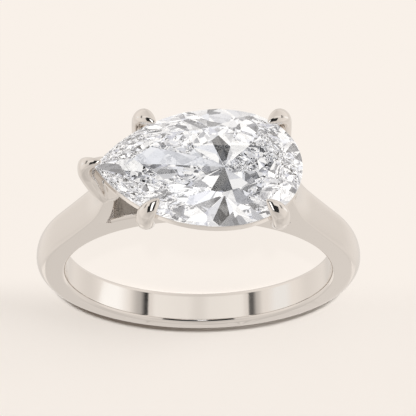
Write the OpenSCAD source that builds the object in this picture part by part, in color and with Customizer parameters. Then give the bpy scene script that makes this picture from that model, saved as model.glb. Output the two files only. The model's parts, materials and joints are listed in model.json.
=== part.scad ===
// East west solitaire: a pear shaped stone set across the finger in five prongs on a cathedral band.
// Everything is drawn with the hole of the ring along Y, the stone up and its point to the left,
// and lay_down() then turns the whole onto its side, as it rests on a table.

/* [Finger hole] */
// Inside diameter of the band
inner_d = 16.5; // [15.5:0.1:17.5]
// Rounding of both rims of the hole
rim_r = 0.34; // [0.2:0.02:0.4]

/* [Band] */
// Width of the band along the finger
band_w = 2.2; // [1.9:0.1:2.5]
// Height of the flat sides at the bottom of the band
bottom_t = 0.8; // [0.7:0.05:1]
// Height of the flat sides level with the middle of the finger
side_t = 1.15; // [1.05:0.05:1.3]
// Rise of the rounded back over the flat sides of the band
crown_h = 0.7; // [0.3:0.05:0.8]

/* [Shoulders] */
// Half the distance between the outer faces of the shoulders at the head
shoulder_x = 5.41; // [5.3:0.01:5.5]
// Height over the middle of the finger at which the shoulders stand upright
shoulder_z = 12.33; // [12.2:0.01:12.45]
// Radius of the outer sweep of a shoulder
sweep_r = 9; // [8.6:0.1:9.2]
// Radius of the inner sweep of a shoulder
inner_sweep_r = 14; // [12:0.5:18]
// Thickness of a shoulder at the head
shoulder_t = 0.68; // [0.6:0.02:0.8]
// Rise of the rounded back at the top of the shoulders
shoulder_crown_h = 0.12; // [0.1:0.02:0.3]
// Thickness of the bridge under the stone
bridge_t = 1.55; // [1.3:0.05:1.6]

/* [Stone] */
// Length of the stone, across the finger
stone_l = 11.57; // [11.2:0.01:12]
// Width of the stone, along the finger
stone_w = 7.2; // [7:0.02:7.4]
// Distance of the widest part of the stone from the middle of its length
widest_x = 1.13; // [0.9:0.01:1.3]
// Fullness of the round end, where 2 is an ellipse
head_power = 2.1; // [2:0.05:2.3]
// Height of the girdle over the middle of the finger
girdle_z = 13.4; // [13.3:0.02:13.5]
// Thickness of the girdle
girdle_t = 0.12; // [0.08:0.02:0.2]
// Height of the crown over the girdle
crown_rise = 1; // [0.9:0.05:1.1]
// Depth of the culet below the girdle
pavilion_depth = 3.1; // [3:0.02:3.2]
// Distance of the culet from the middle of the stone's length
culet_x = 1.45; // [1:0.05:1.8]
// Slope of the main facets of the crown
crown_slope = 34; // [32:0.5:36]
// Clearance between the stone and the metal
seat_gap = 0.04; // [0.03:0.01:0.06]

/* [Gallery rail] */
// Height of the rail
rail_h = 0.62; // [0.5:0.02:0.7]
// Thickness of the rail
rail_t = 0.6; // [0.5:0.05:0.7]
// Distance of the rail's face inside the edge of the stone
rail_inset = 0.05; // [0:0.01:0.1]
// Drop from the girdle to the top of the rail
rail_drop = 0.24; // [0.2:0.02:0.3]

/* [Prongs] */
// Places of the two near prongs, from the middle of the stone's length
near_pair_x = [-2.6, 4.05];
// Places of the two far prongs, from the middle of the stone's length
far_pair_x = [-2.9, 4.3];
// Reach of the side prongs to either side of the band's middle
prong_reach = 3.6; // [3.58:0.02:3.8]
// Half width of a side prong
prong_half_w = 0.57; // [0.5:0.01:0.65]

/* [Hidden] */
$fn = 96;
inner_r = inner_d / 2;
half_w = band_w / 2;
stone_half_l = stone_l / 2;
stone_half_w = stone_w / 2;
stone_top = girdle_z + girdle_t / 2;
stone_base = girdle_z - girdle_t / 2;
table_z = stone_top + crown_rise;
rail_base = girdle_z - rail_drop - rail_h;

function mixed(a, b, part) = a + (b - a) * part;
function eased(part) = let (p = min(1, max(0, part))) p * p * (3 - 2 * p);

// The outside of the band is a disc set a little above the hole, which two sweeps leave for the head.
disc_r = inner_r + side_t;
disc_z = side_t - bottom_t;
sweep_x = shoulder_x + sweep_r;
sweep_dz = shoulder_z - disc_z;
leave_a = atan2(sweep_dz, sweep_x) - acos((disc_r + sweep_r) / norm([sweep_x, sweep_dz]));

// Half of the outside, as [x, z, outward x, outward z], from the bottom of the band to the head.
disc_steps = 22;
line_steps = 3;
sweep_steps = 8;
function disc_spot(a) = [disc_r * cos(a), disc_z + disc_r * sin(a), cos(a), sin(a)];
function sweep_spot(a) = [sweep_x - sweep_r * cos(a), shoulder_z - sweep_r * sin(a), cos(a), sin(a)];
half_outside = [
    for (i = [0:disc_steps]) disc_spot(mixed(-90, leave_a, i / disc_steps)),
    for (i = [1:line_steps - 1]) mixed(disc_spot(leave_a), sweep_spot(leave_a), i / line_steps),
    for (i = [0:sweep_steps]) sweep_spot(mixed(leave_a, 0, i / sweep_steps))
];
outside = [
    for (s = half_outside) s,
    for (i = [len(half_outside) - 1:-1:1]) let (s = half_outside[i]) [-s[0], s[1], -s[2], s[3]]
];

// The rounded back is full up to crown_low_z and has gone flat at crown_high_z.
crown_low_z = -1;
crown_high_z = 9;
back_steps = 8;
function back_rise(z) =
    mixed(crown_h, shoulder_crown_h, eased((z - crown_low_z) / (crown_high_z - crown_low_z)));
function back_spot(s, a) = [
    s[0] + s[2] * back_rise(s[1]) * cos(a),
    half_w * sin(a),
    s[1] + s[3] * back_rise(s[1]) * cos(a)
];

// A solid through rings of points, all with the same number of points, closed at both ends.
module skin(rings) {
    sides = len(rings[0]);
    last = (len(rings) - 1) * sides;
    polyhedron(
        points = [for (ring = rings) each ring],
        faces = [
            [for (k = [0:sides - 1]) k],
            [for (k = [sides - 1:-1:0]) last + k],
            for (i = [0:len(rings) - 2], k = [0:sides - 1])
                let (here = i * sides + k, next = i * sides + (k + 1) % sides)
                each [[here, next + sides, next], [here, here + sides, next + sides]]
        ]
    );
}

module band_blank() {
    skin([for (j = [0:back_steps]) [for (s = outside) back_spot(s, mixed(90, -90, j / back_steps))]]);
}

// The hole for the finger. Its rims are rounded, and meet the flat sides at a small angle.
rim_end_a = 20;
rim_centre = [inner_r + rim_r, half_w - rim_r * cos(rim_end_a)];
module finger_hole() {
    rotate([90, 0, 0]) rotate_extrude() difference() {
        translate([0, -band_w]) square([rim_centre.x, 2 * band_w]);
        translate([inner_r, -rim_centre.y]) square([2 * rim_r, 2 * rim_centre.y]);
        for (side = [-1, 1]) translate([rim_centre.x, side * rim_centre.y]) circle(r = rim_r);
    }
}

// The open space between the shoulders, over the bridge.
module cathedral_gap() {
    centre_x = shoulder_x - shoulder_t + inner_sweep_r;
    rotate([90, 0, 0]) linear_extrude(height = 2 * band_w, center = true) difference() {
        translate([-inner_r, 0]) square([inner_d, 2 * inner_r]);
        circle(r = inner_r + bridge_t);
        for (side = [-1, 1]) translate([side * centre_x, shoulder_z]) circle(r = inner_sweep_r);
    }
}

// The outline of the stone: two long arcs meet at the point, and the round end is a full ellipse.
flank_r = (pow(stone_half_l + widest_x, 2) + pow(stone_half_w, 2)) / stone_w;
head_l = stone_half_l - widest_x;
function flank_end(inset) = acos((flank_r - stone_half_w) / (flank_r - inset));

// A spot of the outline at u, from 0 at the point over 1 at the widest place to 2 at the round end,
// as [x, y, outward x, outward y]. The side is -1 for the near half of the outline and 1 for the far.
function rim_spot(u, inset = 0, side = 1) =
    u <= 1
    ? let (a = flank_end(inset) * (1 - u), r = flank_r - inset)
        [widest_x - r * sin(a), side * (stone_half_w - flank_r + r * cos(a)), -sin(a), side * cos(a)]
    : let (
        a = 90 * (u - 1),
        grow = 2 - 2 / head_power,
        out = [pow(sin(a), grow) / head_l, pow(cos(a), grow) / stone_half_w],
        n = out / norm(out)
    ) [
        widest_x + head_l * pow(sin(a), 2 / head_power) - inset * n.x,
        side * (stone_half_w * pow(cos(a), 2 / head_power) - inset * n.y),
        n.x,
        side * n.y
    ];
rim_steps = 18;
function outline(inset) = [
    for (i = [0:2 * rim_steps]) let (s = rim_spot(i / rim_steps, inset, -1)) [s[0], s[1]],
    for (i = [2 * rim_steps - 1:-1:1]) let (s = rim_spot(i / rim_steps, inset, 1)) [s[0], s[1]]
];

// The u of the outline where it reaches x, found by halving.
function u_at(x, low = 0, high = 2, tries = 20) =
    let (u = (low + high) / 2)
    tries == 0 ? u : rim_spot(u)[0] < x ? u_at(x, u, high, tries - 1) : u_at(x, low, u, tries - 1);

// A cut takes away what lies beyond a plane through p that faces towards heading, tilted by slope
// from level. A slope over 90 faces down.
cut_size = 30;
module cut(p, heading, slope, back_off) {
    translate(p) rotate([0, 0, heading]) rotate([0, slope, 0])
        translate([-cut_size / 2, -cut_size / 2, back_off]) cube(cut_size);
}

// The crown: mains, break facets beside them, and stars round the table.
crown_mains = [0.5, 1, 1.5, 2];
break_places = [0, 0.5, 1, 1.5, 2];
break_turn = 0.14;
break_lift = 6;
tip_crown_slope = crown_slope - 2;
star_places = [0.25, 0.75, 1.25, 1.75];
star_slope = 22;
star_drop = 0.24;
star_inset = (crown_rise - star_drop) / tan(crown_slope);

// The pavilion: every main passes through the culet, and the lower facets are a little steeper.
pavilion_mains = [0.3, 0.65, 1, 1.5, 2];
lower_places = [0.06:0.125:1.94];
lower_lift = 2;
function culet_slope(u) =
    let (s = rim_spot(u)) atan(pavilion_depth / ((s[0] - culet_x) * s[2] + s[1] * s[3]));

module crown_cut(u, u_face, side, slope, back_off) {
    s = rim_spot(u, 0, side);
    face = rim_spot(u_face, 0, side);
    cut([s[0], s[1], stone_top], atan2(face[3], face[2]), slope, back_off);
}

module pavilion_cut(u, side, lift, back_off) {
    s = rim_spot(u, 0, side);
    cut([s[0], s[1], stone_base], atan2(s[3], s[2]), 180 - culet_slope(u) - lift, back_off);
}

module star_cut(u, side, back_off) {
    s = rim_spot(u, star_inset, side);
    cut([s[0], s[1], table_z - star_drop], atan2(s[3], s[2]), star_slope, back_off);
}

module stone_body(grow) {
    difference() {
        translate([0, 0, stone_base - pavilion_depth - grow])
            linear_extrude(height = pavilion_depth + girdle_t + crown_rise + 2 * grow)
                polygon(outline(-grow));
        for (side = [-1, 1]) {
            for (u = crown_mains) crown_cut(u, u, side, crown_slope, grow);
            for (u = break_places, turn = [-break_turn, break_turn])
                if (u + turn > 0 && u + turn < 2) crown_cut(u, u + turn, side, crown_slope + break_lift, grow);
            for (u = star_places) star_cut(u, side, grow);
            for (u = pavilion_mains) pavilion_cut(u, side, 0, grow);
            for (u = lower_places) pavilion_cut(u, side, lower_lift, grow);
        }
        cut([-stone_half_l, 0, stone_top], 180, tip_crown_slope, grow);
    }
}

// The rail under the girdle follows the outline of the stone.
module gallery_rail() {
    translate([0, 0, rail_base]) linear_extrude(height = rail_h) difference() {
        polygon(outline(rail_inset));
        polygon(outline(rail_inset + rail_t));
    }
}

// The ring lies on the lower end of the band and on the far prongs, and the floor touches both.
prong_wide_z = 12.9;
rest_a = atan2(prong_reach - half_w, prong_wide_z + disc_r - disc_z);
function floor_depth(p) = p.y * cos(rest_a) - p.z * sin(rest_a);
back_a_step = 5;
band_depth = max([for (s = outside, a = [0:back_a_step:90]) floor_depth(back_spot(s, a))]);

// A ring of points round c, in the plane of two directions, with half a width and half a thickness.
ring_sides = 10;
function ring_of(c, side, up, w, t) =
    [for (k = [0:ring_sides - 1]) let (a = 360 * k / ring_sides) c + side * w * cos(a) + up * t * sin(a)];

// Rings along a claw: rows of [out, up, part of half_width, half thickness] from a spot of the girdle,
// where out is the direction away from the stone.
function claw_rings(rows, spot, out, along, half_width) = [
    for (i = [0:len(rows) - 1])
        let (
            row = rows[i],
            before = rows[max(0, i - 1)],
            after = rows[min(len(rows) - 1, i + 1)],
            way = [after[0] - before[0], after[1] - before[1]],
            lean = way / norm(way),
            up = [0, 0, 1]
        )
        ring_of(spot + out * row[0] + up * row[1], along, out * lean.y - up * lean.x,
            row[2] * half_width, row[3])
];

// The post of a side prong leans out from the side of the bridge to the girdle.
// Rows of [height, part of the half width, half thickness].
post_rows = [
    [7.75, 0.6, 0.14],
    [8.4, 0.78, 0.34],
    [9.4, 0.85, 0.42],
    [10.9, 0.95, 0.46],
    [12.1, 1, 0.5],
    [prong_wide_z, 1, 0.5]
];
post_foot_y = 0.94;
post_foot_dx = -0.1;
post_out = 0.48;
claw_rows = [
    [0.46, 0.04, 1, 0.46],
    [0.34, 0.34, 0.96, 0.41],
    [0.1, 0.55, 0.86, 0.34],
    [-0.18, 0.66, 0.68, 0.26],
    [-0.44, 0.72, 0.42, 0.17],
    [-0.66, 0.75, 0.12, 0.06]
];
function prong_rings(u, side) =
    let (
        s = rim_spot(u, 0, side),
        out = [s[2], s[3], 0],
        along = [out.y, -out.x, 0],
        top = [s[0], s[1], 0] + out * post_out,
        foot = [s[0] + post_foot_dx, side * post_foot_y, 0],
        first_z = post_rows[0][0]
    )
    [
        for (row = post_rows)
            let (part = (row[0] - first_z) / (prong_wide_z - first_z))
            ring_of(mixed(foot, top, part) + [0, 0, row[0]], along, mixed([0, side, 0], out, part),
                row[1] * prong_half_w, row[2]),
        each claw_rings(claw_rows, [s[0], s[1], girdle_z], out, along, prong_half_w)
    ];

// The rings are moved along the finger until the prong touches the plane of the floor.
function seated_rings(u, side) =
    let (
        short = band_depth - max([for (ring = prong_rings(u, 1), p = ring) floor_depth(p)]),
        shift = [0, side * short / cos(rest_a), 0]
    )
    [for (ring = prong_rings(u, side)) [for (p = ring) p + shift]];

module side_prongs() {
    for (x = near_pair_x) skin(seated_rings(u_at(x), -1));
    for (x = far_pair_x) skin(seated_rings(u_at(x), 1));
}

// The prong at the point grows out of the shoulder, and its claw turns in over the stone.
tip_half_w = 1.09;
tip_rows = [
    [-0.72, -2, 0.99, 0.36],
    [-0.38, -1.3, 1, 0.46],
    [0.14, -0.8, 0.92, 0.52],
    [0.48, -0.35, 0.74, 0.5],
    [0.48, 0.15, 0.55, 0.44],
    [0.26, 0.48, 0.43, 0.34],
    [-0.08, 0.66, 0.31, 0.24],
    [-0.38, 0.73, 0.17, 0.14],
    [-0.62, 0.76, 0.05, 0.05]
];
module tip_prong() {
    skin(claw_rings(tip_rows, [-stone_half_l, 0, girdle_z], [-1, 0, 0], [0, 1, 0], tip_half_w));
}

// The top of each shoulder widens into the rail.
collar_z = 11.45;
collar_inner_x = 4.35;
collar_w = 2.96;
collar_slab = 0.1;
module collar(side) {
    hull() {
        translate([side * (shoulder_x - shoulder_t / 2), 0, collar_z])
            cube([shoulder_t, band_w, collar_slab], center = true);
        translate([0, 0, rail_base]) linear_extrude(height = collar_slab) intersection() {
            polygon(outline(rail_inset));
            translate([side * (collar_inner_x + stone_half_l / 2), 0])
                square([stone_half_l, collar_w], center = true);
        }
    }
}

module metalwork() {
    difference() {
        union() {
            difference() {
                band_blank();
                cathedral_gap();
            }
            gallery_rail();
            for (side = [-1, 1]) collar(side);
            side_prongs();
            tip_prong();
        }
        finger_hole();
        hull() stone_body(seat_gap);
    }
}

// Turned onto its far side, with the stone to the front, its point to the right, and the middle of
// the whole over the origin.
back_z = disc_z - disc_r - crown_h;
table_half_w = stone_half_w - star_inset - star_drop / tan(star_slope);
middle_y = ((table_z + back_z) * cos(rest_a) + table_half_w * sin(rest_a)) / 2;
module lay_down() {
    translate([0, middle_y, band_depth]) rotate([-rest_a, 0, 0]) rotate([0, 180, 0]) rotate([90, 0, 0])
        children();
}

module ring_mounting() {
    color([0.85, 0.83, 0.8]) lay_down() metalwork();
}

module pear_stone() {
    color([0.94, 0.96, 0.98]) lay_down() hull() stone_body(0);
}

ring_mounting();
pear_stone();
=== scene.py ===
import json
import math

import bmesh
import bpy
from mathutils import Matrix, Vector

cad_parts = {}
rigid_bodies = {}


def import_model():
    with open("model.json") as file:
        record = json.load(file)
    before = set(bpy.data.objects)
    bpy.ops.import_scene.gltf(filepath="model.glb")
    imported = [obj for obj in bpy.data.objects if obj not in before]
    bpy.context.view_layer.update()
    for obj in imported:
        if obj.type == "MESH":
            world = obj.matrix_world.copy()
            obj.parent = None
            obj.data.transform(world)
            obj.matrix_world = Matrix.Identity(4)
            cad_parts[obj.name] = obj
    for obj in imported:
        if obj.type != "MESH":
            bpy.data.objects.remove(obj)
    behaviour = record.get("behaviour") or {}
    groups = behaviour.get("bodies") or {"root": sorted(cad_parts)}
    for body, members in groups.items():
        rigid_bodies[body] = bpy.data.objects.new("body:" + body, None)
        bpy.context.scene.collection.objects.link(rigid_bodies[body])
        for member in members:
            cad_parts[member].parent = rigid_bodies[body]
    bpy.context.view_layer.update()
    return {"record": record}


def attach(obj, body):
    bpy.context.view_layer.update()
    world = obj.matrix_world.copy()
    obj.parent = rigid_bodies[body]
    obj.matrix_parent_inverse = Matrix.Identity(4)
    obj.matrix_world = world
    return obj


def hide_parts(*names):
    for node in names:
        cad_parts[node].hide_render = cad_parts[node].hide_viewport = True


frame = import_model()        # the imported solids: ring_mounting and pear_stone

# Pieces are modelled upright in millimetres: hole along Y, stone up, its point to the left.
# layDown() then turns a finished piece onto its side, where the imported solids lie, in metres.
bore = frame["record"]["mounts"][0]
boreAxis = Vector(bore["axis"]).normalized()
restTilt = math.atan2(boreAxis.y, boreAxis.z)
onItsSide = (
    Matrix.Translation(Vector(bore["pos_m"]))
    @ Matrix.Rotation(-restTilt, 4, "X")
    @ Matrix.Rotation(math.pi, 4, "Y")
    @ Matrix.Rotation(math.pi / 2, 4, "X")
)
mm = 0.001                # in metres
toMetres = Matrix.Scale(mm, 4)
up = Vector((0, 0, 1))
fingerWay = Vector((0, 1, 0))
# how near spots have to be in mm: to be picked together, to be welded, and to lie on a cut
tolerance = dict(pick=0.001, weld=0.0005, cut=0.00001)


def mixed(a, b, part):
    return a + (b - a) * part


def eased(part):
    part = min(1, max(0, part))
    return part * part * (3 - 2 * part)


def nothingSelected():
    if bpy.context.object and bpy.context.object.mode != "OBJECT":
        bpy.ops.object.mode_set(mode="OBJECT")
    bpy.ops.object.select_all(action="DESELECT")


def pick(piece):
    nothingSelected()
    piece.select_set(True)
    bpy.context.view_layer.objects.active = piece


def editNew(name):
    # names the primitive that was just added and opens it for shaping
    piece = bpy.context.object
    piece.name = name
    piece.data.name = name
    bpy.ops.object.mode_set(mode="EDIT")
    return piece


def selectVerts(piece, test):
    mesh = bmesh.from_edit_mesh(piece.data)
    for vert in mesh.verts:
        vert.select = test(vert)
    mesh.select_flush(True)
    mesh.select_flush(False)
    bmesh.update_edit_mesh(piece.data)


def applyAll(piece):
    pick(piece)
    for modifier in list(piece.modifiers):
        bpy.ops.object.modifier_apply(modifier=modifier.name)


def combine(piece, other, operation):
    # joins the other shape to the piece or cuts it out, and uses it up
    boolean = piece.modifiers.new("cut or join", "BOOLEAN")
    boolean.operation = operation
    boolean.solver = "EXACT"
    boolean.object = other
    applyAll(piece)
    bpy.data.objects.remove(other)


def outwardNormals(piece):
    pick(piece)
    bpy.ops.object.mode_set(mode="EDIT")
    bpy.ops.mesh.select_all(action="SELECT")
    bpy.ops.mesh.remove_doubles(threshold=tolerance["weld"])
    bpy.ops.mesh.normals_make_consistent(inside=False)
    bpy.ops.object.mode_set(mode="OBJECT")


def breakEdges(piece, width, segments, angle):
    # rounds off each edge that turns by more than the angle
    edges = piece.modifiers.new("edges", "BEVEL")
    edges.width = width
    edges.segments = segments
    edges.limit_method = "ANGLE"
    edges.angle_limit = math.radians(angle)
    applyAll(piece)


def layDown(piece):
    pick(piece)
    piece.matrix_world = onItsSide @ toMetres
    bpy.ops.object.transform_apply(location=True, rotation=True, scale=True)


# The camera stands where the photo was taken from, seen from the ring, which is low over the table
# and on the stone's side. It is rolled so that the stone is at the top of the picture.
cameraPlace = dict(
    distance=110.0,       # mm from the middle of the hole
    lookDown=67.263,      # degrees over the level of the finger
    tip=1.696,            # degrees the view is tipped up from the middle of the hole
    turn=-0.309,          # degrees the view is turned aside
    lens=152.35,
    sensor=36.0,
    clip=(0.005, 10.0),   # m
)


def makeCamera():
    lookDown = math.radians(cameraPlace["lookDown"])
    place = cameraPlace["distance"] * Vector((0, -math.cos(lookDown), math.sin(lookDown)))
    bpy.ops.object.camera_add()
    camera = bpy.context.object
    camera.name = "photo_camera"
    camera.data.lens = cameraPlace["lens"]
    camera.data.sensor_width = cameraPlace["sensor"]
    camera.data.clip_start, camera.data.clip_end = cameraPlace["clip"]
    upright = (
        Matrix.Translation(place * mm)
        @ Matrix.Rotation(math.pi / 2 - lookDown + math.radians(cameraPlace["tip"]), 4, "X")
        @ Matrix.Rotation(math.radians(cameraPlace["turn"]), 4, "Y")
    )
    camera.matrix_world = onItsSide @ upright
    bpy.context.scene.camera = camera


# Blender's start file brings a cube, a camera and a lamp
for leftover in [o for o in bpy.data.objects if o.type in {"CAMERA", "LIGHT"} or o.name == "Cube"]:
    bpy.data.objects.remove(leftover)
nothingSelected()
makeCamera()
print("camera set")


# Band: the rounded back is swept from the bottom up to the head, mirrored and filled.
band = dict(
    width=2.2,
    holeRadius=8.25,
    rimRadius=0.34,
    rimEnd=20.0,          # degrees left between the rounded rim and the flat side
    discRadius=9.4,       # the flat sides' outer edge is a circle
    discRise=0.35,        # set this much over the hole's middle
    crown=0.7,            # rise of the rounded back
    headCrown=0.12,       # and what is left of it at the head
    crownLow=-1.0,        # heights between which it goes over from one to the other
    crownHigh=9.0,
    shoulderX=5.41,       # the outer edge of the right shoulder's top
    shoulderZ=12.33,
    shoulderThickness=0.68,
    sweepRadius=9.0,      # of the arcs up to it, outside and inside
    innerSweep=14.0,
    bridgeRadius=9.8,     # of the bridge's top, round the hole's middle
    headCorner=0.3,       # round of the back's two edges at the head
    headFullness=0.45,    # how flat the back gets between them, 1 is not at all
    edge=(0.06, 3, 40),   # polished-off edges: width, segments, and from which angle
    windowEdge=(0.2, 4),  # the bridge's edges: width and segments
    backPoints=64,        # corners of the circle that the section is made from
    roundSteps=48,        # sections round the hole, on the straight and up the sweep
    straightSteps=5,
    sweepSteps=26,
    rimSteps=9,
    rodSides=240,
    sweepSides=360,
)
collarSeat = 11.5         # height where the left shoulder ends and the collar starts
topCut = dict(x=-6.0, wide=4.0, tall=2.0)        # block that takes off what is above


def backProfile(base, out, count):
    # the back's section at a spot: half an ellipse low down, and flatter with round edges at the head
    part = eased((base.z - band["crownLow"]) / (band["crownHigh"] - band["crownLow"]))
    half = band["width"] / 2
    corner = band["headCorner"]
    points = []
    for k in range(count):
        angle = math.pi * (k / (count - 1) - 0.5)
        sine, cosine = math.sin(angle), max(0, math.cos(angle))
        spread = math.copysign(abs(sine) ** band["headFullness"], sine)
        rise = mixed(band["crown"] * cosine, band["headCrown"] - corner + corner * cosine, part)
        wide = mixed(half * sine, (half - corner) * spread + corner * sine, part)
        points.append(base + out * rise + fingerWay * wide)
    return points


def backPath():
    # spots from the bottom, round the hole, straight on and up the shoulder, and the way out at each
    centre = Vector((0, 0, band["discRise"]))
    sweepCentre = Vector((band["shoulderX"] + band["sweepRadius"], 0, band["shoulderZ"]))
    apart = sweepCentre - centre
    reach = band["discRadius"] + band["sweepRadius"]
    leave = math.atan2(apart.z, apart.x) - math.acos(reach / apart.length)
    path = []
    for k in range(band["roundSteps"] + 1):
        angle = mixed(-math.pi / 2, leave, k / band["roundSteps"])
        out = Vector((math.cos(angle), 0, math.sin(angle)))
        path.append((centre + band["discRadius"] * out, out))
    out = Vector((math.cos(leave), 0, math.sin(leave)))
    first, last = centre + band["discRadius"] * out, sweepCentre - band["sweepRadius"] * out
    steps = band["straightSteps"]
    path += [(mixed(first, last, k / steps), out) for k in range(1, steps)]
    for k in range(band["sweepSteps"] + 1):
        angle = leave * (1 - k / band["sweepSteps"])
        out = Vector((math.cos(angle), 0, math.sin(angle)))
        path.append((sweepCentre - band["sweepRadius"] * out, out))
    return path


def makeBandBlank():
    # half a circle, flattened to the back's section, is extruded along the path spot by spot
    half = band["width"] / 2
    bpy.ops.mesh.primitive_circle_add(
        vertices=band["backPoints"], radius=half, rotation=(0, math.pi / 2, 0)
    )
    bpy.ops.object.transform_apply(location=False, rotation=True, scale=False)
    piece = editNew("band")
    selectVerts(piece, lambda v: v.co.z > tolerance["pick"])
    bpy.ops.mesh.delete(type="VERT")
    bpy.ops.mesh.select_all(action="SELECT")
    for number, (base, out) in enumerate(backPath()):
        if number:
            bpy.ops.mesh.extrude_region_move()
        mesh = bmesh.from_edit_mesh(piece.data)
        openEnd = sorted((v for v in mesh.verts if v.select), key=lambda v: v.co.y)
        for vert, point in zip(openEnd, backProfile(base, out, len(openEnd))):
            vert.co = point
        bmesh.update_edit_mesh(piece.data)
    bpy.ops.object.mode_set(mode="OBJECT")
    mirror = piece.modifiers.new("other half", "MIRROR")
    mirror.use_axis = (True, False, False)
    mirror.merge_threshold = tolerance["pick"]
    applyAll(piece)
    # the two flat sides and the top are one face each
    bpy.ops.object.mode_set(mode="EDIT")
    for side in (-1, 1):
        selectVerts(piece, lambda v: abs(v.co.y - side * half) < tolerance["pick"])
        bpy.ops.mesh.edge_face_add()
    selectVerts(piece, lambda v: abs(v.co.z - band["shoulderZ"]) < tolerance["pick"])
    bpy.ops.mesh.edge_face_add()
    bpy.ops.object.mode_set(mode="OBJECT")
    outwardNormals(piece)
    return piece


def addRod(radius, depth, x, z, sides):
    bpy.ops.mesh.primitive_cylinder_add(
        vertices=sides, radius=radius, depth=depth, location=(x, 0, z), rotation=(math.pi / 2, 0, 0)
    )
    rod = bpy.context.object
    bpy.ops.object.transform_apply(location=True, rotation=True, scale=True)
    return rod


def makeHoleCutter():
    # a rod as thick as the hole, whose ends flare out round the polished rims
    half = band["width"] / 2
    rim = band["rimRadius"]
    rimY = half - rim * math.cos(math.radians(band["rimEnd"]))
    piece = addRod(band["holeRadius"], 2 * rimY, 0, 0, band["rodSides"])
    piece.name = "hole_cutter"
    bpy.ops.object.mode_set(mode="EDIT")
    for side in (-1, 1):
        selectVerts(piece, lambda v: side * v.co.y > rimY - tolerance["pick"])
        radius, depth = band["holeRadius"], 0.0
        for k in range(1, band["rimSteps"] + 1):
            angle = math.radians((90 - band["rimEnd"]) * k / band["rimSteps"])
            nextRadius = band["holeRadius"] + rim * (1 - math.cos(angle))
            nextDepth = rim * math.sin(angle)
            bpy.ops.mesh.extrude_region_move(
                TRANSFORM_OT_translate={"value": (0, side * (nextDepth - depth), 0)}
            )
            ratio = nextRadius / radius
            bpy.ops.transform.resize(value=(ratio, 1, ratio), center_override=(0, 0, 0))
            radius, depth = nextRadius, nextDepth
        bpy.ops.mesh.extrude_region_move(TRANSFORM_OT_translate={"value": (0, side * half, 0)})
    bpy.ops.object.mode_set(mode="OBJECT")
    outwardNormals(piece)
    return piece


def makeWindowCutter():
    # what is left of a block when the bridge and the two inner sweeps are taken out of it
    size = 2 * band["holeRadius"]
    depth = 2 * band["width"]
    bpy.ops.mesh.primitive_cube_add(size=1, location=(0, 0, size / 2), scale=(size, depth, size))
    piece = bpy.context.object
    piece.name = "window_cutter"
    bpy.ops.object.transform_apply(location=True, rotation=True, scale=True)
    combine(piece, addRod(band["bridgeRadius"], 2 * depth, 0, 0, band["rodSides"]), "DIFFERENCE")
    sweepX = band["shoulderX"] - band["shoulderThickness"] + band["innerSweep"]
    for side in (-1, 1):
        sweep = addRod(band["innerSweep"], 2 * depth, side * sweepX, band["shoulderZ"], band["sweepSides"])
        combine(piece, sweep, "DIFFERENCE")
    return piece


def roundWindow(piece):
    # the bridge's edges, seen through the window, are rounded more than the others
    def onWindow(vert, side):
        # the bridge's flats lie a little inside its radius
        onBridge = abs(math.hypot(vert.co.x, vert.co.z) - band["bridgeRadius"]) < 10 * tolerance["pick"]
        onSide = vert.co.y * side > band["width"] / 2 - tolerance["pick"]
        return onSide and onBridge and vert.co.z > band["holeRadius"]

    width, segments = band["windowEdge"]
    pick(piece)
    bpy.ops.object.mode_set(mode="EDIT")
    bpy.ops.mesh.select_mode(type="VERT")
    for side in (-1, 1):
        selectVerts(piece, lambda v: onWindow(v, side))
        bpy.ops.mesh.bevel(offset=width, segments=segments, profile=0.5, clamp_overlap=False)
    bpy.ops.object.mode_set(mode="OBJECT")


def shortenShoulder(piece):
    # the left shoulder's top makes room for the collar
    bpy.ops.mesh.primitive_cube_add(
        size=1,
        location=(topCut["x"], 0, collarSeat + topCut["tall"] / 2),
        scale=(topCut["wide"], topCut["wide"], topCut["tall"]),
    )
    block = bpy.context.object
    bpy.ops.object.transform_apply(location=True, rotation=True, scale=True)
    combine(piece, block, "DIFFERENCE")


def makeBand():
    piece = makeBandBlank()
    combine(piece, makeWindowCutter(), "DIFFERENCE")
    combine(piece, makeHoleCutter(), "DIFFERENCE")
    roundWindow(piece)
    shortenShoulder(piece)
    breakEdges(piece, *band["edge"])
    return piece


bandPiece = makeBand()
print("band made:", len(bandPiece.data.polygons), "faces")


# Stone: the outline is two arcs that meet at the point, and half an ellipse for the round end.
stone = dict(
    length=11.57,
    width=7.2,
    widestX=1.13,
    headPower=2.1,        # 2 is a plain ellipse, and more is fuller
    girdleZ=13.4,         # the girdle's middle, and its thickness
    girdle=0.12,
    crown=1.0,            # height over the girdle, and depth under it
    depth=3.1,
    culetX=1.45,
    culetY=0.26,          # a little off the stone's middle line, to the far side
    crownSlope=34.0,      # degrees from level
    outlineSteps=64,      # for each quarter of the outline
)
stoneHalfLength = stone["length"] / 2
stoneHalfWidth = stone["width"] / 2
flankRadius = ((stoneHalfLength + stone["widestX"]) ** 2 + stoneHalfWidth**2) / stone["width"]
headLength = stoneHalfLength - stone["widestX"]


def rimSpot(u, inset=0.0, side=1):
    # a spot of the outline and the way out of the stone there, for u from 0 at the point to 2
    if u <= 1:
        radius = flankRadius - inset
        angle = math.acos((flankRadius - stoneHalfWidth) / radius) * (1 - u)
        spot = Vector((stone["widestX"] - radius * math.sin(angle),
                       side * (stoneHalfWidth - flankRadius + radius * math.cos(angle)), 0))
        return spot, Vector((-math.sin(angle), side * math.cos(angle), 0))
    angle = math.pi / 2 * (u - 1)
    sine, cosine = max(0, math.sin(angle)), max(0, math.cos(angle))
    fullness = 2 / stone["headPower"]
    out = Vector((sine ** (2 - fullness) / headLength, side * cosine ** (2 - fullness) / stoneHalfWidth, 0))
    out.normalize()
    spot = Vector((stone["widestX"] + headLength * sine**fullness,
                   side * stoneHalfWidth * cosine**fullness, 0))
    return spot - inset * out, out


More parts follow.
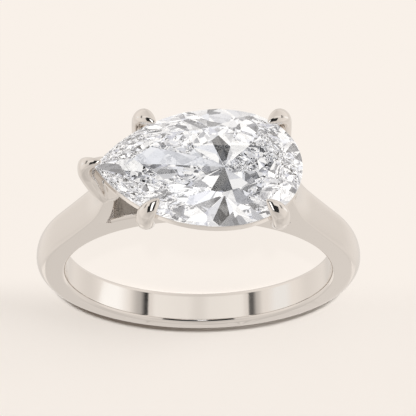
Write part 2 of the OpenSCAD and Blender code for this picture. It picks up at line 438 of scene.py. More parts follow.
def uAt(x, halvings=30):
    # the u of the outline's spot at x, found by halving
    low, high = 0.0, 2.0
    for _ in range(halvings):
        middle = (low + high) / 2
        if rimSpot(middle)[0].x < x:
            low = middle
        else:
            high = middle
    return low


def addOutline(name, inset, z, steps):
    # a disc whose corners are then put on the outline
    bpy.ops.mesh.primitive_circle_add(vertices=4 * steps, radius=1, fill_type="NGON")
    piece = editNew(name)
    mesh = bmesh.from_edit_mesh(piece.data)
    mesh.verts.ensure_lookup_table()
    for k in range(4 * steps):
        u = k / steps
        spot = rimSpot(min(u, 4 - u), inset, -1 if u <= 2 else 1)[0]
        mesh.verts[k].co = spot + up * z
    bmesh.update_edit_mesh(piece.data)
    bpy.ops.mesh.select_all(action="SELECT")
    return piece


# Facets: places are the outline's u, slopes and lifts are degrees, and drops and insets are mm.
facets = dict(
    crownMains=(0.5, 1.0, 1.5, 2.0),
    tipLift=2.0,          # the crown's facet over the point is this much steeper
    breakPlaces=(0.0, 0.5, 1.0, 1.5, 2.0),
    breakTurn=0.14,
    breakLift=6.0,
    starPlaces=(0.25, 0.75, 1.25, 1.75),
    starSlope=22.0,
    starDrop=0.24,
    # place, and how far under the girdle the facet starts
    pavilionMains=((0.03, 0.0), (0.2, 0.3), (0.35, 0.3), (0.5, 0.2), (0.7, 0.05), (1.0, 0.0), (1.333, 0.0),
                   (1.667, 0.0), (2.0, 0.0)),
    lowerPlaces=(0.58, 0.85, 1.083, 1.25, 1.417, 1.583, 1.75, 1.917),
    lowerLift=0.9,
    # small facets in the pointed half: first and last place, spacing, inset from the edge, lift
    smallRows=(
        (0.02, 0.5, 0.04, 0.0, 10.0),
        (0.04, 0.5, 0.04, 0.2, 6.5),
        (0.03, 0.45, 0.05, 0.45, 3.5),
        (0.05, 0.4, 0.06, 0.75, 1.5),
    ),
    smallDrop=0.2,
    smallTilt=4.0,        # a row starts lower with its inset, on a line this much steeper than its facets
)


def facetCut(place, out, slope, down=False):
    # cuts off what lies beyond a plane through place that faces out, tilted by slope from level
    slope = math.radians(slope)
    normal = out * math.sin(slope) + up * math.cos(slope) * (-1 if down else 1)
    bpy.ops.mesh.select_all(action="SELECT")
    bpy.ops.mesh.bisect(
        plane_co=place, plane_no=normal, use_fill=True, clear_outer=True, threshold=tolerance["cut"]
    )


def culetSlope(spot, out, drop=0.0):
    # the slope that takes a facet to the culet, from drop under the girdle
    reach = (spot - Vector((stone["culetX"], stone["culetY"], 0))).dot(out)
    return math.degrees(math.atan((stone["depth"] - drop) / reach))


girdleTop = stone["girdleZ"] + stone["girdle"] / 2
girdleBottom = stone["girdleZ"] - stone["girdle"] / 2


def cutCrown(side):
    tableZ = girdleTop + stone["crown"]
    starInset = (stone["crown"] - facets["starDrop"]) / math.tan(math.radians(stone["crownSlope"]))
    for u in facets["crownMains"]:
        # a facet in the middle of the round end is cut once
        if u < 2 or side > 0:
            spot, out = rimSpot(u, 0, side)
            facetCut(spot + up * girdleTop, out, stone["crownSlope"])
    for u in facets["breakPlaces"]:
        for turn in (-facets["breakTurn"], facets["breakTurn"]):
            if 0 < u + turn < 2:
                spot = rimSpot(u, 0, side)[0]
                out = rimSpot(u + turn, 0, side)[1]
                facetCut(spot + up * girdleTop, out, stone["crownSlope"] + facets["breakLift"])
    for u in facets["starPlaces"]:
        spot, out = rimSpot(u, starInset, side)
        facetCut(spot + up * (tableZ - facets["starDrop"]), out, facets["starSlope"])


def cutPavilion(side):
    for u, drop in facets["pavilionMains"]:
        if u < 2 or side > 0:
            spot, out = rimSpot(u, 0, side)
            facetCut(spot + up * (girdleBottom - drop), out, culetSlope(spot, out, drop), down=True)
    for u in facets["lowerPlaces"]:
        spot, out = rimSpot(u, 0, side)
        facetCut(spot + up * girdleBottom, out, culetSlope(spot, out) + facets["lowerLift"], down=True)
    for first, last, spacing, inset, lift in facets["smallRows"]:
        for k in range(int((last - first) / spacing) + 1):
            spot, out = rimSpot(first + spacing * k, 0, side)
            slope = culetSlope(spot, out, facets["smallDrop"]) + lift
            edgeFall = inset * math.tan(math.radians(slope + facets["smallTilt"]))
            facetCut(spot - out * inset + up * (girdleBottom - edgeFall), out, slope, down=True)


def makeStone():
    # a pear shaped block as tall as the stone, with all facets cut off it
    piece = addOutline("pear_brilliant", 0, girdleBottom - stone["depth"], stone["outlineSteps"])
    bpy.ops.mesh.extrude_region_move(
        TRANSFORM_OT_translate={"value": (0, 0, stone["depth"] + stone["girdle"] + stone["crown"])}
    )
    bpy.ops.mesh.select_all(action="SELECT")
    bpy.ops.mesh.normals_make_consistent(inside=False)
    for side in (-1, 1):
        cutCrown(side)
        cutPavilion(side)
    point = Vector((-stoneHalfLength, 0, girdleTop))
    facetCut(point, Vector((-1, 0, 0)), stone["crownSlope"] + facets["tipLift"])
    bpy.ops.object.mode_set(mode="OBJECT")
    outwardNormals(piece)
    return piece


stonePiece = makeStone()
print("stone cut:", len(stonePiece.data.polygons), "facets")


# Rail: a strip along the outline, under the girdle.
rail = dict(height=0.62, thickness=0.6, inset=0.05, drop=0.24, edge=(0.1, 4, 50), outlineSteps=48)
railBase = stone["girdleZ"] - rail["drop"] - rail["height"]


def makeRail():
    piece = addOutline("rail", rail["inset"], railBase, rail["outlineSteps"])
    bpy.ops.mesh.extrude_region_move(TRANSFORM_OT_translate={"value": (0, 0, rail["height"])})
    bpy.ops.object.mode_set(mode="OBJECT")
    outwardNormals(piece)
    # the cutter reaches a rail's height past both faces
    inner = addOutline("rail_inside", rail["inset"] + rail["thickness"], railBase - rail["height"],
                       rail["outlineSteps"])
    bpy.ops.mesh.extrude_region_move(TRANSFORM_OT_translate={"value": (0, 0, 3 * rail["height"])})
    bpy.ops.object.mode_set(mode="OBJECT")
    outwardNormals(inner)
    combine(piece, inner, "DIFFERENCE")
    breakEdges(piece, *rail["edge"])
    return piece


# Prongs: rings of points up a post and on over the stone as a claw.
prong = dict(
    sides=16,
    smoothLevels=2,
    halfWidth=0.57,
    footY=0.94,
    footShift=0.36,       # the feet stand this much further along the bridge than the claws
    postOut=0.48,
    near=(-2.6, 4.2),     # places along the stone, on the photo's side and on the far side
    far=(-2.9, 4.38),
    aimX=0.6,             # spot of the stone that the claws lean to
    lean=0.85,            # how far they turn to it from straight in, 1 is all the way
    # height, share of the half width, and half thickness
    post=((7.75, 0.6, 0.14), (8.4, 0.78, 0.34), (9.4, 0.85, 0.42), (10.9, 0.95, 0.46), (12.1, 1.0, 0.5),
          (12.9, 1.0, 0.5)),
    # out and up from the stone's edge, share of the half width, and half thickness
    claw=((0.46, 0.04, 1.0, 0.46), (0.34, 0.34, 0.96, 0.41), (0.1, 0.55, 0.86, 0.34),
          (-0.18, 0.66, 0.68, 0.26), (-0.44, 0.72, 0.42, 0.17), (-0.66, 0.75, 0.12, 0.06)),
)


def ringPoints(centre, along, across, half, thick, sides, fullness=1.0):
    # an ellipse, or with a fullness under 1 a rounder box
    points = []
    for k in range(sides):
        cosine, sine = math.cos(2 * math.pi * k / sides), math.sin(2 * math.pi * k / sides)
        wide = math.copysign(abs(cosine) ** fullness, cosine) * half
        deep = math.copysign(abs(sine) ** fullness, sine) * thick
        points.append(centre + along * wide + across * deep)
    return points


def clawRings(rows, spot, out, along, half, sides, fullness=1.0):
    # each ring stands square to the way from the row before it to the row after it
    rings = []
    for k, row in enumerate(rows):
        before, after = rows[max(0, k - 1)], rows[min(len(rows) - 1, k + 1)]
        way = Vector((after[0] - before[0], after[1] - before[1])).normalized()
        rings.append(ringPoints(spot + out * row[0] + up * row[1], along, out * way.y - up * way.x,
                                row[2] * half, row[3], sides, fullness))
    return rings


def loftRings(name, rings):
    # a disc is extruded ring by ring, and each new ring is put in its place
    sides = len(rings[0])
    bpy.ops.mesh.primitive_circle_add(vertices=sides, radius=1, fill_type="NGON")
    piece = editNew(name)
    bpy.ops.mesh.select_all(action="SELECT")
    for number, ring in enumerate(rings):
        if number:
            bpy.ops.mesh.extrude_region_move()
        mesh = bmesh.from_edit_mesh(piece.data)
        openEnd = sorted((v for v in mesh.verts if v.select), key=lambda v: v.index)
        for vert, point in zip(openEnd, ring):
            vert.co = point
        bmesh.update_edit_mesh(piece.data)
    bpy.ops.object.mode_set(mode="OBJECT")
    smooth = piece.modifiers.new("smooth", "SUBSURF")
    smooth.levels = prong["smoothLevels"]
    smooth.render_levels = prong["smoothLevels"]
    applyAll(piece)
    outwardNormals(piece)
    return piece


floorLevel = bore["pos_m"][2] / mm


def floorDepth(point):
    # how far a spot reaches towards the table once the ring lies down
    return point.y * math.cos(restTilt) - point.z * math.sin(restTilt)


def prongRings(x, side):
    spot, out = rimSpot(uAt(x), 0, side)
    aim = (spot - Vector((prong["aimX"], 0, 0))).normalized()
    clawOut = mixed(out, aim, prong["lean"]).normalized()
    clawAlong = Vector((clawOut.y, -clawOut.x, 0))
    top = spot + clawOut * prong["postOut"]
    foot = Vector((spot.x + math.copysign(prong["footShift"], x), side * prong["footY"], 0))
    firstZ, lastZ = prong["post"][0][0], prong["post"][-1][0]
    rings = []
    for z, wide, thick in prong["post"]:
        part = (z - firstZ) / (lastZ - firstZ)
        wayOut = mixed(fingerWay * side, clawOut, part).normalized()
        rings.append(ringPoints(mixed(foot, top, part) + up * z, Vector((wayOut.y, -wayOut.x, 0)), wayOut,
                                wide * prong["halfWidth"], thick, prong["sides"]))
    rings += clawRings(prong["claw"], spot + up * stone["girdleZ"], clawOut, clawAlong, prong["halfWidth"],
                       prong["sides"])
    # moved along the finger until it would touch the floor
    deepest = max(floorDepth(Vector((p.x, side * p.y, p.z))) for ring in rings for p in ring)
    shift = fingerWay * side * (floorLevel - deepest) / math.cos(restTilt)
    return [[p + shift for p in ring] for ring in rings]


# Tip prong: rows as in the other claws, from the shoulder up.
tip = dict(
    halfWidth=1.09,
    fullness=0.75,
    rows=((-0.66, -2.05, 1.36, 0.34), (-0.46, -1.7, 1.36, 0.46), (-0.2, -1.35, 1.22, 0.56),
          (0.13, -0.95, 0.95, 0.57), (0.43, -0.5, 0.62, 0.53), (0.55, -0.05, 0.51, 0.47),
          (0.45, 0.3, 0.41, 0.37), (0.14, 0.52, 0.3, 0.27), (-0.2, 0.64, 0.19, 0.17),
          (-0.48, 0.7, 0.07, 0.07)),
)
# Collars: each shoulder widens through one to the end of the rail, and the left one has a lip.
collar = dict(z=11.4, innerX=4.35, width=2.96, slab=0.1, edge=(0.07, 3, 30), lip=0.12)
# the left collar and the tip prong are melted into one, and smoothed
hood = dict(voxel=0.05, smoothFactor=0.5, smoothTimes=20, seat=(1.015, 1.02, 1.03))
seatGrowth = (1.008, 1.012, 1.02)        # the stone's seat is cut a hair wider than the stone


def cutSeat(part, growth):
    # takes a slightly larger copy of the stone out of the metal
    pick(stonePiece)
    bpy.ops.object.duplicate()
    cutter = bpy.context.object
    bpy.ops.transform.resize(value=growth, center_override=(0, 0, stone["girdleZ"]))
    bpy.ops.object.transform_apply(location=True, rotation=True, scale=True)
    combine(part, cutter, "DIFFERENCE")


def makeCollar(side, lip=0.0):
    # the hull of the shoulder's top and of the end of the rail
    piece = addOutline("collar", rail["inset"], railBase, rail["outlineSteps"])
    half = collar["width"] / 2
    bpy.ops.mesh.bisect(plane_co=(side * collar["innerX"], 0, 0), plane_no=(-side, 0, 0), clear_outer=True)
    for way in (-1, 1):
        bpy.ops.mesh.select_all(action="SELECT")
        bpy.ops.mesh.bisect(plane_co=(0, way * half, 0), plane_no=(0, way, 0), clear_outer=True)
    bpy.ops.mesh.select_all(action="SELECT")
    bpy.ops.mesh.extrude_region_move(TRANSFORM_OT_translate={"value": (0, 0, collar["slab"])})
    middle = band["shoulderX"] - band["shoulderThickness"] / 2
    bpy.ops.mesh.primitive_cube_add(
        size=1, location=(side * middle, 0, collar["z"]),
        scale=(band["shoulderThickness"] + collar["lip"], band["width"] + lip, collar["slab"]),
    )
    bpy.ops.mesh.select_all(action="SELECT")
    bpy.ops.mesh.convex_hull()
    bpy.ops.object.mode_set(mode="OBJECT")
    outwardNormals(piece)
    breakEdges(piece, *collar["edge"])
    return piece


def castHood(claw, base):
    # the tip prong and the collar under it flow into each other, and round the stone's seat
    combine(claw, base, "UNION")
    cutSeat(claw, hood["seat"])
    melt = claw.modifiers.new("melt", "REMESH")
    melt.mode = "VOXEL"
    melt.voxel_size = hood["voxel"]
    smooth = claw.modifiers.new("smooth", "SMOOTH")
    smooth.factor = hood["smoothFactor"]
    smooth.iterations = hood["smoothTimes"]
    applyAll(claw)
    return claw


railPiece = makeRail()
metal = [bandPiece, railPiece]
for places, side in ((prong["near"], -1), (prong["far"], 1)):
    for x in places:
        metal.append(loftRings("prong", prongRings(x, side)))
tipRings = clawRings(tip["rows"], Vector((-stoneHalfLength, 0, stone["girdleZ"])), Vector((-1, 0, 0)),
                     fingerWay, tip["halfWidth"], prong["sides"], tip["fullness"])
metal.append(castHood(loftRings("tip_prong", tipRings), makeCollar(-1, 2 * collar["lip"])))
metal.append(makeCollar(1))
for part in metal[1:]:
    cutSeat(part, seatGrowth)
print("rail, prongs and seat made")


def finishMetal(piece, name, sharpAngle=35):
    piece.name = name
    piece.data.name = name
    pick(piece)
    bpy.ops.object.shade_smooth_by_angle(angle=math.radians(sharpAngle))
    weighted = piece.modifiers.new("flat sides stay flat", "WEIGHTED_NORMAL")
    weighted.keep_sharp = True
    applyAll(piece)
    layDown(piece)
    return piece


def hexColour(code):
    # sRGB hex to linear
    def channel(part):
        value = int(part, 16) / 255
        return value / 12.92 if value <= 0.04045 else ((value + 0.055) / 1.055) ** 2.4
    return tuple(channel(code[k:k + 2]) for k in (1, 3, 5)) + (1.0,)


def addNode(tree, kind, settings=None, inputs=None, links=None):
    node = tree.nodes.new(kind)
    for key, value in (settings or {}).items():
        setattr(node, key, value)
    for key, value in (inputs or {}).items():
        node.inputs[key].default_value = value
    for key, source in (links or {}).items():
        tree.links.new(source, node.inputs[key])
    return node


def newMaterial(name):
    material = bpy.data.materials.new(name)
    material.use_nodes = True
    material.node_tree.nodes.clear()
    return material, material.node_tree


# 18 carat white gold, cast, rhodium plated and mirror polished: warm grey, and the wheel leaves a
# faint haze that softens the reflections here and there
polish = dict(colour="#e9e5e1", hazeWidth=1.11, least=0.05, most=0.11)       # mm, and roughness


def polishedWhiteGold():
    material, tree = newMaterial("polished_white_gold")
    place = addNode(tree, "ShaderNodeTexCoord")
    haze = addNode(tree, "ShaderNodeTexNoise",
                   inputs={"Scale": 1 / (polish["hazeWidth"] * mm), "Detail": 3.0},
                   links={"Vector": place.outputs["Object"]})
    rough = addNode(tree, "ShaderNodeMapRange", inputs={"To Min": polish["least"], "To Max": polish["most"]},
                    links={"Value": haze.outputs["Fac"]})
    shader = addNode(tree, "ShaderNodeBsdfPrincipled",
                     inputs={"Base Color": hexColour(polish["colour"]), "Metallic": 1.0},
                     links={"Roughness": rough.outputs["Result"]})
    addNode(tree, "ShaderNodeOutputMaterial", links={"Surface": shader.outputs["BSDF"]})
    return material


# the inside of the head, out of the polisher's reach: white gold as cast, which is satin and grainy, with
# painted shade that makes its colour darker under the rail and between the shoulders
castAndShade = dict(
    # the darker colour is painted shade
    colour="#c2beb9",
    roughness=0.45,
    grainWidth=0.111,     # mm, and its depth
    grainDepth=0.02,
    strength=0.02,
    halfLong=4.9,         # it reaches this far along the stone and along the finger
    halfWide=0.84,
    lowest=8.6,
    facing=0.5,           # and leaves out faces that look along the finger by more than this
)


def castAndShadedInside():
    material, tree = newMaterial("cast_white_gold_painted_shade")
    place = addNode(tree, "ShaderNodeTexCoord")
    grain = addNode(tree, "ShaderNodeTexNoise",
                    inputs={"Scale": 1 / (castAndShade["grainWidth"] * mm), "Detail": 2.0},
                    links={"Vector": place.outputs["Object"]})
    bump = addNode(tree, "ShaderNodeBump",
                   inputs={"Strength": castAndShade["strength"], "Distance": castAndShade["grainDepth"] * mm},
                   links={"Height": grain.outputs["Fac"]})
    shader = addNode(tree, "ShaderNodeBsdfPrincipled",
                     inputs={"Base Color": hexColour(castAndShade["colour"]), "Metallic": 1.0,
                             "Roughness": castAndShade["roughness"]},
                     links={"Normal": bump.outputs["Normal"]})
    addNode(tree, "ShaderNodeOutputMaterial", links={"Surface": shader.outputs["BSDF"]})
    return material


# diamond, cut and polished: clear and colourless, and it bends light so much that it sparkles
diamond = dict(colour="#ffffff", ior=2.417)


def cutDiamond():
    material, tree = newMaterial("cut_diamond")
    shader = addNode(tree, "ShaderNodeBsdfPrincipled",
                     inputs={"Base Color": hexColour(diamond["colour"]), "Roughness": 0.0,
                             "IOR": diamond["ior"], "Transmission Weight": 1.0})
    addNode(tree, "ShaderNodeOutputMaterial", links={"Surface": shader.outputs["BSDF"]})
    return material


def castAndShadedFace(face):
    # what looks into the head, under the rail and between the shoulders, where the shade is painted into the
    # colour
    middle = face.center
    within = abs(middle.x) < castAndShade["halfLong"] and abs(middle.y) < castAndShade["halfWide"]
    return within and middle.z > castAndShade["lowest"] and abs(face.normal.y) < castAndShade["facing"]


polished, inside = polishedWhiteGold(), castAndShadedInside()
for part in metal:
    part.data.materials.clear()
    part.data.materials.append(polished)
    part.data.materials.append(inside)
for face in bandPiece.data.polygons:
    # painted shade: these faces get the darker colour
    if castAndShadedFace(face):
        face.material_index = 1
pick(metal[0])
for part in metal[1:]:
    part.select_set(True)
bpy.ops.object.join()
mounting = finishMetal(metal[0], "white_gold_mounting")
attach(mounting, "root")
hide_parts("ring_mounting")
mounting.visible_transmission = False        # seen through the stone it would only muddy the sparkle

layDown(stonePiece)
stonePiece.data.materials.clear()
stonePiece.data.materials.append(cutDiamond())
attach(stonePiece, "root")
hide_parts("pear_stone")
print("pieces placed")


# Studio: a pale table, a light tent that the metal mirrors and one that the stone sees, and lamps
# that light the table alone. Each thing shows only to the kind of ray that it is there for.
studio = dict(
    tableSize=3.0,        # m
    tableColour="#f9f1e9",
    background="#f8f1e8",
    skyPart=0.1,          # share of the table's light that comes from all round
    skyColour="#ffe3c8",
    # share of the table's light, azimuth, degrees over the table, degrees across
    suns=((0.66, 0, 23.9, 2.0), (0.06, 0, 15.0, 20.0), (0.04, 40, 14.0, 24.0), (0.14, -40, 12.0, 22.0)),
    # from the head to the band's lower end: place in m, and share of the table's brightness that is painted
    # glow instead of lamp light, which hides the shade under the head
    paintedGlowShare=((0.008, 0.96), (0.0135, 0.05)),
    tentRadius=1.2,       # m
    tentRings=32,
    cardDistance=0.3,     # m
    slantRoom=1.2,        # a slanted card is widened by this much of its tallness
    bounces=24,           # the stone needs many
)


def showsTo(piece, *rays):
    for ray in ("camera", "diffuse", "glossy", "transmission", "volume_scatter", "shadow"):
        setattr(piece, "visible_" + ray, ray in rays)


def glow(name, strength, colour="#ffffff"):
    # an even light source
    material, tree = newMaterial(name)
    shader = addNode(tree, "ShaderNodeEmission", inputs={"Color": hexColour(colour), "Strength": strength})
    addNode(tree, "ShaderNodeOutputMaterial", links={"Surface": shader.outputs["Emission"]})
    return material


def directionOf(tree):
    # azimuth from the camera's side and height over the table, in degrees, of a spot of a tent or card
    place = addNode(tree, "ShaderNodeTexCoord")
    way = addNode(tree, "ShaderNodeVectorMath", {"operation": "NORMALIZE"}, {}, {0: place.outputs["Object"]})
    parts = addNode(tree, "ShaderNodeSeparateXYZ", links={"Vector": way.outputs["Vector"]})
    front = addNode(tree, "ShaderNodeMath", {"operation": "MULTIPLY"}, {1: -1.0}, {0: parts.outputs["Y"]})
    around = addNode(tree, "ShaderNodeMath", {"operation": "ARCTAN2"}, {},
                     {0: parts.outputs["X"], 1: front.outputs["Value"]})
    azimuth = addNode(tree, "ShaderNodeMath", {"operation": "DEGREES"}, {}, {0: around.outputs["Value"]})
    rise = addNode(tree, "ShaderNodeMath", {"operation": "ARCSINE"}, {}, {0: parts.outputs["Z"]})
    elevation = addNode(tree, "ShaderNodeMath", {"operation": "DEGREES"}, {}, {0: rise.outputs["Value"]})
    return azimuth.outputs["Value"], elevation.outputs["Value"]


def setStops(ramp, way, stops):
    # stops are position from 0 to 1, and colour
    ramp.color_ramp.interpolation = way
    points = ramp.color_ramp.elements
    while len(points) < len(stops):
        points.new(0.5)
    for point, (position, colour) in zip(points, stops):
        point.position = position
        point.color = (*colour, 1)


def strengthAlong(tree, value, low, high, stops):
    # strengths along a range of degrees
    span = addNode(tree, "ShaderNodeMapRange", inputs={"From Min": low, "From Max": high},
                   links={"Value": value})
    ramp = addNode(tree, "ShaderNodeValToRGB", links={"Fac": span.outputs["Result"]})
    spots = [((degrees - low) / (high - low), 3 * (strength,)) for degrees, strength in stops]
    setStops(ramp, "EASE", spots)
    return ramp.outputs["Color"]


# strengths at an azimuth and at a height, which are multiplied
metalTent = dict(
    colour="#fff8f1",
    around=((-180, 0.775), (-172, 0.82), (-158, 0.78), (-138, 0.86), (-112, 0.80), (-88, 0.93), (-66, 0.9),
            (-50, 0.84), (0, 0.74), (50, 0.84), (66, 0.9), (90, 0.93), (112, 0.82), (138, 0.86), (158, 0.74),
            (168, 0.74), (180, 0.775)),
    height=((-90, 1.0), (-35, 1.05), (0, 1.04), (12, 1.0), (25, 1.0), (45, 0.86), (90, 0.92)),
)


def metalTentGlow():
    # white cloth, lit from outside, brightest at the two sides
    material, tree = newMaterial("white_tent_cloth")
    azimuth, elevation = directionOf(tree)
    around = strengthAlong(tree, azimuth, -180, 180, metalTent["around"])
    height = strengthAlong(tree, elevation, -90, 90, metalTent["height"])
    both = addNode(tree, "ShaderNodeMixRGB", {"blend_type": "MULTIPLY"}, {"Fac": 1.0},
                   {"Color1": around, "Color2": height})
    shader = addNode(tree, "ShaderNodeEmission", inputs={"Color": hexColour(metalTent["colour"])},
                     links={"Strength": both.outputs["Color"]})
    addNode(tree, "ShaderNodeOutputMaterial", links={"Surface": shader.outputs["Emission"]})
    return material


def softGlow(name, strength, colour, slant, fade):
    # a card whose sides fade: the share at each azimuth, which the slant shifts with each degree of height
    material, tree = newMaterial(name)
    azimuth, elevation = directionOf(tree)
    shift = addNode(tree, "ShaderNodeMath", {"operation": "MULTIPLY"}, {1: slant}, {0: elevation})
    straight = addNode(tree, "ShaderNodeMath", {"operation": "SUBTRACT"}, {},
                       {0: azimuth, 1: shift.outputs["Value"]})
    share = strengthAlong(tree, straight.outputs["Value"], fade[0][0], fade[-1][0], fade)
    shader = addNode(tree, "ShaderNodeEmission", inputs={"Color": hexColour(colour), "Strength": strength})
    clear = addNode(tree, "ShaderNodeBsdfTransparent")
    both = addNode(tree, "ShaderNodeMixShader",
                   links={0: share, 1: clear.outputs["BSDF"], 2: shader.outputs["Emission"]})
    addNode(tree, "ShaderNodeOutputMaterial", links={"Surface": both.outputs["Shader"]})
    return material


def addTent(name, material, rays):
    nothingSelected()
    rings = studio["tentRings"]
    bpy.ops.mesh.primitive_uv_sphere_add(segments=2 * rings, ring_count=rings, radius=studio["tentRadius"])
    tent = bpy.context.object
    tent.name = name
    tent.data.materials.append(material)
    showsTo(tent, *rays)


# The dark side of the studio, behind the camera: azimuth from the camera's side, height, width and
# tallness in degrees, and strength.
metalCards = dict(
    middleBlack=(0, 20, 62, 46, 0.03),
)
# Cards that fade out sideways: height, tallness, strength, colour, slant, and share along the azimuth.
# The black ones show as the streaks on the hole's wall, the low ones light it between and beside them,
# and the edge ones light the line where the back meets a flat side.
softCards = dict(
    leftBlack=(-15, 24, 0.03, "#ffffff", -0.25, ((-70, 0), (-58, 0.4), (-51.5, 1), (-50, 1), (-49, 0))),
    rightBlack=(-15, 24, 0.03, "#ffffff", 0.25, ((49, 0), (50, 0.9), (53, 0.9), (58, 0.3), (64, 0))),
    frontLow=(-17, 12, 1.0, "#fffaf4", 0.0,
              ((-44, 0), (-38, 1), (-12, 0.85), (0, 0.4), (12, 0.85), (38, 1), (44, 0))),
    leftEdge=(6, 18, 1.0, "#fff8f1", 0.0, ((145, 0), (154, 1), (160, 1), (169, 0))),
    rightEdge=(6, 18, 0.97, "#fff8f1", 0.0, ((-169, 0), (-160, 1), (-154, 1), (-145, 0))),
    leftLow=(-17, 12, 1.2, "#fffdfa", 0.0, ((-110, 0), (-90, 1), (-78, 1), (-60, 0))),
    rightLow=(-17, 12, 1.0, "#fffdfa", 0.0, ((62, 0), (74, 1), (82, 1), (94, 0))),
)
# A window with a black frame, near the head so that only the claws see much of it: x, y, z, width and
# height in mm, and strength.
clawCards = dict(
    windowFrame=(2, -27, 9.5, 14, 24, 0.02),
    window=(2, -26.5, 9.5, 5, 18, 1.7),
)


def addClawCard(name, x, y, z, width, height, strength):
    nothingSelected()
    bpy.ops.mesh.primitive_plane_add(size=mm)
    card = bpy.context.object
    card.name = name
    card.matrix_world = (
        Matrix.Translation(Vector((x, y, z)) * mm)
        @ Matrix.Rotation(math.pi / 2, 4, "X")
        @ Matrix.Diagonal((width, height, 1, 1))
    )
    bpy.ops.object.transform_apply(location=True, rotation=True, scale=True)
    card.data.materials.append(glow(name, strength))
    showsTo(card, "glossy")


def addCard(name, azimuth, elevation, width, tall, material, rays):
    # a card that faces the ring, as large as its degrees say
    distance = studio["cardDistance"]
    wideSize, tallSize = (2 * distance * math.tan(math.radians(across / 2)) for across in (width, tall))
    nothingSelected()
    bpy.ops.mesh.primitive_plane_add(size=1)
    card = bpy.context.object
    card.name = name
    card.matrix_world = (
        Matrix.Rotation(math.radians(azimuth), 4, "Z")
        @ Matrix.Rotation(math.radians(90 - elevation), 4, "X")
        @ Matrix.Translation((0, 0, distance))
        @ Matrix.Diagonal((wideSize, tallSize, 1, 1))
    )
    bpy.ops.object.transform_apply(location=True, rotation=True, scale=True)
    card.data.materials.append(material)
    showsTo(card, *rays)


def addSuns():
    # The main one stands a little under the camera's line, so that its shadow shows at the lower end of
    # the band alone, and the wide ones soften that shadow. Their colour is what the sky leaves of white.
    skyPart = studio["skyPart"]
    lit = [(1 - skyPart * part) / (1 - skyPart) for part in hexColour(studio["skyColour"])[:3]]
    for share, azimuth, height, spread in studio["suns"]:
        nothingSelected()
        bpy.ops.object.light_add(
            type="SUN", rotation=(math.radians(90 - height), 0, math.radians(azimuth))
        )
        lamp = bpy.context.object
        lamp.name = "table_sun"
        lamp.data.angle = math.radians(spread)
        lamp.data.color = [part / max(lit) for part in lit]
        # straight from above, an energy of pi lights white paper to 1
        lamp.data.energy = share * max(lit) * math.pi / math.sin(math.radians(height))
        showsTo(lamp, "diffuse", "shadow")


def tablePaper():
    # white paper with painted light: it glows by itself under the head, which hides the shade that would
    # fall there, and gives way towards the lower end of the band to plain paper, which takes the lamps'
    # shadow
    material, tree = newMaterial("pale_paper")
    place = addNode(tree, "ShaderNodeTexCoord")
    parts = addNode(tree, "ShaderNodeSeparateXYZ", links={"Vector": place.outputs["Object"]})
    (start, most), (end, least) = studio["paintedGlowShare"]
    share = addNode(tree, "ShaderNodeMapRange", {"interpolation_type": "SMOOTHSTEP"},
                    {"From Min": start, "From Max": end, "To Min": most, "To Max": least},
                    {"Value": parts.outputs["Y"]})
    paper = addNode(tree, "ShaderNodeBsdfDiffuse", inputs={"Color": hexColour(studio["tableColour"])})
    # painted light: the paper's own glow, mixed in by the share above
    paintedGlow = addNode(tree, "ShaderNodeEmission", inputs={"Color": hexColour(studio["tableColour"])})
    both = addNode(tree, "ShaderNodeMixShader",
                   links={0: share.outputs["Result"], 1: paper.outputs["BSDF"],
                          2: paintedGlow.outputs["Emission"]})
    addNode(tree, "ShaderNodeOutputMaterial", links={"Surface": both.outputs["Shader"]})
    return material


stoneTent = dict(
    patch=0.5,            # m across a patch of the tent
    seed=3.4,
    # from which noise value on, colour and strength
    tones=((0.0, "#77777a", 1.0), (0.37, "#aaaaae", 1.0), (0.42, "#dddcdd", 1.0), (0.45, "#f6f4f3", 1.0),
           (0.48, "#fffdfb", 1.12), (0.515, "#e4e4e8", 1.0), (0.535, "#fffdfb", 1.2), (0.57, "#d4d5df", 1.0),
           (0.59, "#fffdfb", 1.4), (0.64, "#f2f3f8", 1.1)),
)
# dark cards that the stone sees: azimuth, height, width and tallness in degrees, and strength
stoneCards = dict(
    cameraBlack=(0, 31, 18, 18, 0.03),
    lowBlack=(0, -10, 10, 10, 0.1),
)


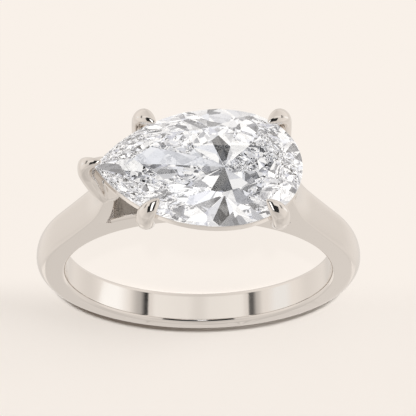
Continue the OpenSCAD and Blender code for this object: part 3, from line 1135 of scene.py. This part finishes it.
def stoneTentGlow():
    # white cloth with grey patches all round, for the stone to break up
    material, tree = newMaterial("carded_tent_cloth")
    place = addNode(tree, "ShaderNodeTexCoord")
    noise = addNode(tree, "ShaderNodeTexNoise", {"noise_dimensions": "4D"},
                    {"Scale": 1 / stoneTent["patch"], "Detail": 0.0, "W": stoneTent["seed"]},
                    {"Vector": place.outputs["Object"]})
    ramp = addNode(tree, "ShaderNodeValToRGB", links={"Fac": noise.outputs["Fac"]})
    setStops(ramp, "CONSTANT", [(position, [part * strength for part in hexColour(code)[:3]])
                                for position, code, strength in stoneTent["tones"]])
    shader = addNode(tree, "ShaderNodeEmission", links={"Color": ramp.outputs["Color"]})
    addNode(tree, "ShaderNodeOutputMaterial", links={"Surface": shader.outputs["Emission"]})
    return material


def makeTable():
    nothingSelected()
    bpy.ops.mesh.primitive_plane_add(size=studio["tableSize"])
    table = bpy.context.object
    table.name = "table"
    table.data.materials.append(tablePaper())
    showsTo(table, "camera", "diffuse")


def surroundMetal():
    addTent("metal_tent", metalTentGlow(), ("glossy",))
    for name, (azimuth, height, wide, tall, strength) in metalCards.items():
        addCard(name, azimuth, height, wide, tall, glow(name, strength), ("glossy",))
    for name, (height, tall, strength, colour, slant, fade) in softCards.items():
        low, high = fade[0][0], fade[-1][0]
        wide = high - low + studio["slantRoom"] * abs(slant) * tall
        material = softGlow(name, strength, colour, slant, fade)
        addCard(name, (low + high) / 2 + slant * height, height, wide, tall, material, ("glossy",))
    for name, values in clawCards.items():
        addClawCard(name, *values)


def surroundStone():
    addTent("stone_tent", stoneTentGlow(), ("transmission",))
    for name, (azimuth, height, wide, tall, strength) in stoneCards.items():
        addCard(name, azimuth, height, wide, tall, glow(name, strength), ("transmission",))


def lightTable():
    addTent("sky", glow("even_sky", studio["skyPart"], studio["skyColour"]), ("diffuse",))
    addSuns()


def setBackground():
    # past the table's edge the camera alone sees a plain pale colour
    world = bpy.data.worlds.new("pale_background")
    world.use_nodes = True
    world.node_tree.nodes["Background"].inputs["Color"].default_value = hexColour(studio["background"])
    scene = bpy.context.scene
    scene.world = world
    for ray in ("diffuse", "glossy", "transmission", "scatter"):
        setattr(world.cycles_visibility, ray, False)
    scene.view_settings.view_transform = "Standard"
    scene.cycles.max_bounces = studio["bounces"]
    scene.cycles.transmission_bounces = studio["bounces"]
    scene.cycles.glossy_bounces = studio["bounces"]


makeTable()
surroundMetal()
surroundStone()
lightTable()
setBackground()
print("studio set")
